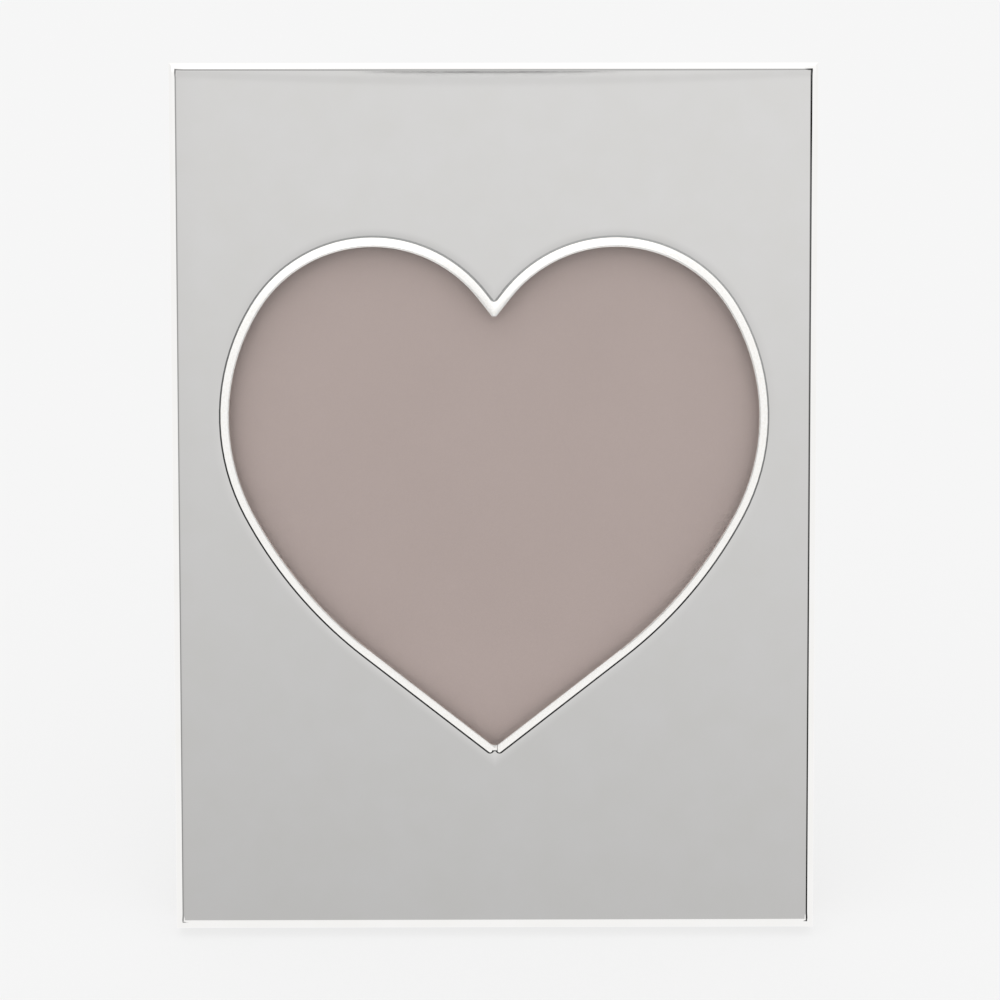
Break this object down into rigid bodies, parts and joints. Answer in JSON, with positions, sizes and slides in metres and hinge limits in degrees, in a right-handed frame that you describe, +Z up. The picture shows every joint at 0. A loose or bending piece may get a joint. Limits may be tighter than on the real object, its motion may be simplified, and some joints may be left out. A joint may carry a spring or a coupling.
{
  "type": "heart shaped photo frame",
  "caption": "Free-standing portrait picture frame with a plated sheet-metal face, a heart shaped opening with a raised strip round it, and a hinged strut at the back.",
  "frame": {"origin": "under the middle of the standing frame's box, on the surface it stands on", "axes": "+Z up, +X to the right as seen from the front, the face looks along -Y and leans back 12 degrees"},
  "size_m": [0.15, 0.0642, 0.1995],
  "materials": {
    "plated_face": "mirror-bright silver-coloured plating on pressed steel sheet",
    "plated_trim": "mirror-bright silver-coloured plating on bent steel strip",
    "core_fibreboard": "fibreboard stained black",
    "nail_steel": "bare steel",
    "pane_glass": "clear float glass",
    "insert_card": "matt taupe printed card, left bare",
    "spacer_card": "brown corrugated card",
    "back_hardboard": "brown hardboard",
    "black_flock": "short black flock",
    "button_steel": "pressed zinc-plated steel",
    "screw_steel": "zinc-plated steel",
    "hinge_steel": "pressed zinc-plated steel",
    "rivet_steel": "nickel-plated steel",
    "strut_fibreboard": "brown fibreboard"
  },
  "bodies": {
    "frame": {"face_plate": "plated_face", "heart_trim": "plated_trim", "rail_bottom": "core_fibreboard", "rail_right": "core_fibreboard", "rail_top": "core_fibreboard", "rail_left": "core_fibreboard", "corner_nails": "nail_steel", "glass_pane": "pane_glass", "print_insert": "insert_card", "spacer_card": "spacer_card", "back_board": "back_hardboard", "back_cover": "black_flock", "turn_button_screws": "screw_steel", "hinge_board_leaf": "hinge_steel", "hinge_pin": "hinge_steel", "hinge_board_rivets": "rivet_steel"},
    "strut": {"hinge_strut_leaf": "hinge_steel", "hinge_strut_rivets": "rivet_steel", "strut_board": "strut_fibreboard", "strut_cover": "black_flock"},
    "lower_left_button": {"turn_button_lower_left": "button_steel"},
    "upper_left_button": {"turn_button_upper_left": "button_steel"},
    "lower_right_button": {"turn_button_lower_right": "button_steel"},
    "upper_right_button": {"turn_button_upper_right": "button_steel"}
  },
  "joints": [
    {"name": "strut_hinge", "type": "hinge", "parent": "frame", "child": "strut", "pos_m": [0, 0.0053, 0.12103], "axis": [1, 0, 0], "range_deg": [-23, 0]},
    {"name": "lower_left_button_turn", "type": "hinge", "parent": "frame", "child": "lower_left_button", "pos_m": [-0.0691, -0.01126, 0.04941], "axis": [0, 0.9781, -0.2079], "range_deg": [-90, 90]},
    {"name": "upper_left_button_turn", "type": "hinge", "parent": "frame", "child": "upper_left_button", "pos_m": [-0.0691, 0.00974, 0.1482], "axis": [0, 0.9781, -0.2079], "range_deg": [-90, 90]},
    {"name": "lower_right_button_turn", "type": "hinge", "parent": "frame", "child": "lower_right_button", "pos_m": [0.0691, -0.01126, 0.04941], "axis": [0, 0.9781, -0.2079], "range_deg": [-90, 90]},
    {"name": "upper_right_button_turn", "type": "hinge", "parent": "frame", "child": "upper_right_button", "pos_m": [0.0691, 0.00974, 0.1482], "axis": [0, 0.9781, -0.2079], "range_deg": [-90, 90]}
  ]
}
